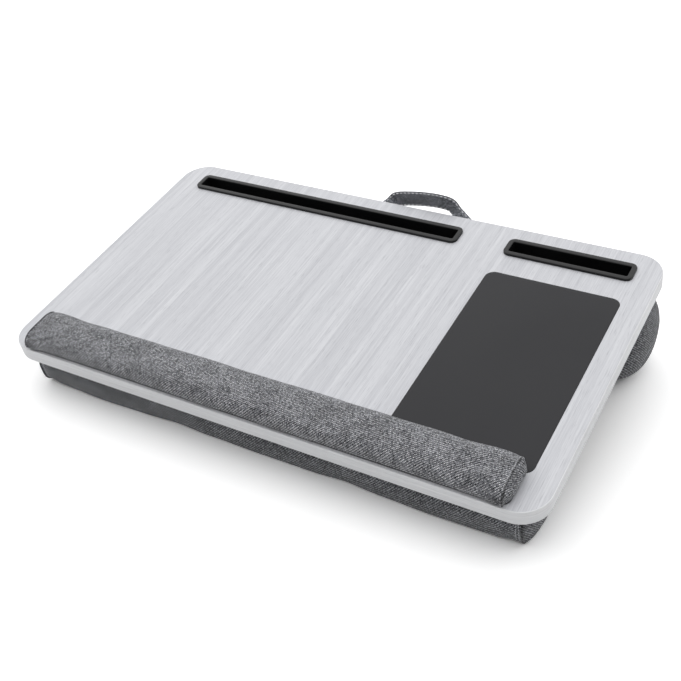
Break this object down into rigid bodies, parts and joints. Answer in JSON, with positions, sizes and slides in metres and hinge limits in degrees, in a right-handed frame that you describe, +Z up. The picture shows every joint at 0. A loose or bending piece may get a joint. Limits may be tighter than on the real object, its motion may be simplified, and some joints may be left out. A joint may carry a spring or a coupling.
{
  "type": "lap desk",
  "caption": "Lap desk: flat wood-grain board on two stuffed bolsters, with tablet and phone slots, inlaid mouse pad, wrist rest and a rear carrying strap.",
  "frame": {"origin": "on the surface that the two bolsters stand on, under the middle of the object's width and depth", "axes": "+X to the user's right along the board's long side, +Y away from the user towards the slots and the strap, +Z up from the surface; the board slopes down towards -Y by 10 degrees"},
  "size_m": [0.56, 0.3443, 0.1295],
  "materials": {
    "fibreboard": "raw medium-density fibreboard",
    "wood_grain_face": "matt pale grey wood-grain laminate, fine straight grain front to rear",
    "wood_grain_back": "plain matt pale grey laminate",
    "wood_grain_edge": "pale grey edge band with fine lengthwise grain",
    "slot_plastic": "satin dark grey moulded plastic",
    "pad_leatherette": "smooth charcoal leatherette",
    "pad_foam": "black foam backing",
    "heather_fabric": "mid grey heather twill",
    "dark_heather_fabric": "dark grey heather twill",
    "white_foam": "memory foam",
    "bead_filling": "loose polystyrene beads and fibre",
    "base_plastic": "stiff plastic sheet",
    "black_cloth": "plain black lining cloth",
    "strap_fabric": "dark grey denim-like ribbon with pale edge stitching",
    "zinc_steel": "zinc-plated steel"
  },
  "bodies": {
    "desk": {"board_core": "fibreboard", "top_laminate": "wood_grain_face", "bottom_laminate": "wood_grain_back", "edge_band": "wood_grain_edge", "tablet_tray": "slot_plastic", "phone_tray": "slot_plastic", "mouse_pad_skin": "pad_leatherette", "mouse_pad_base": "pad_foam", "wrist_rest_cover": "heather_fabric", "wrist_rest_foam": "white_foam", "wrist_rest_base": "base_plastic", "cushion_panel": "fibreboard", "panel_cloth": "black_cloth", "panel_screws": "zinc_steel", "front_bolster_cover": "dark_heather_fabric", "front_bolster_end_left": "dark_heather_fabric", "front_bolster_end_right": "dark_heather_fabric", "front_bolster_fill": "bead_filling", "rear_bolster_cover": "dark_heather_fabric", "rear_bolster_end_left": "dark_heather_fabric", "rear_bolster_end_right": "dark_heather_fabric", "rear_bolster_fill": "bead_filling", "strap_tails": "strap_fabric", "strap_plates": "zinc_steel", "strap_screws": "zinc_steel"},
    "strap": {"strap_grip": "strap_fabric"}
  },
  "joints": [
    {"name": "strap_swing", "type": "hinge", "parent": "desk", "child": "strap", "pos_m": [0.019, 0.16191, 0.09777], "axis": [1, 0, 0], "range_deg": [-80, 15], "stiffness_Nm_per_rad": 0.02}
  ]
}
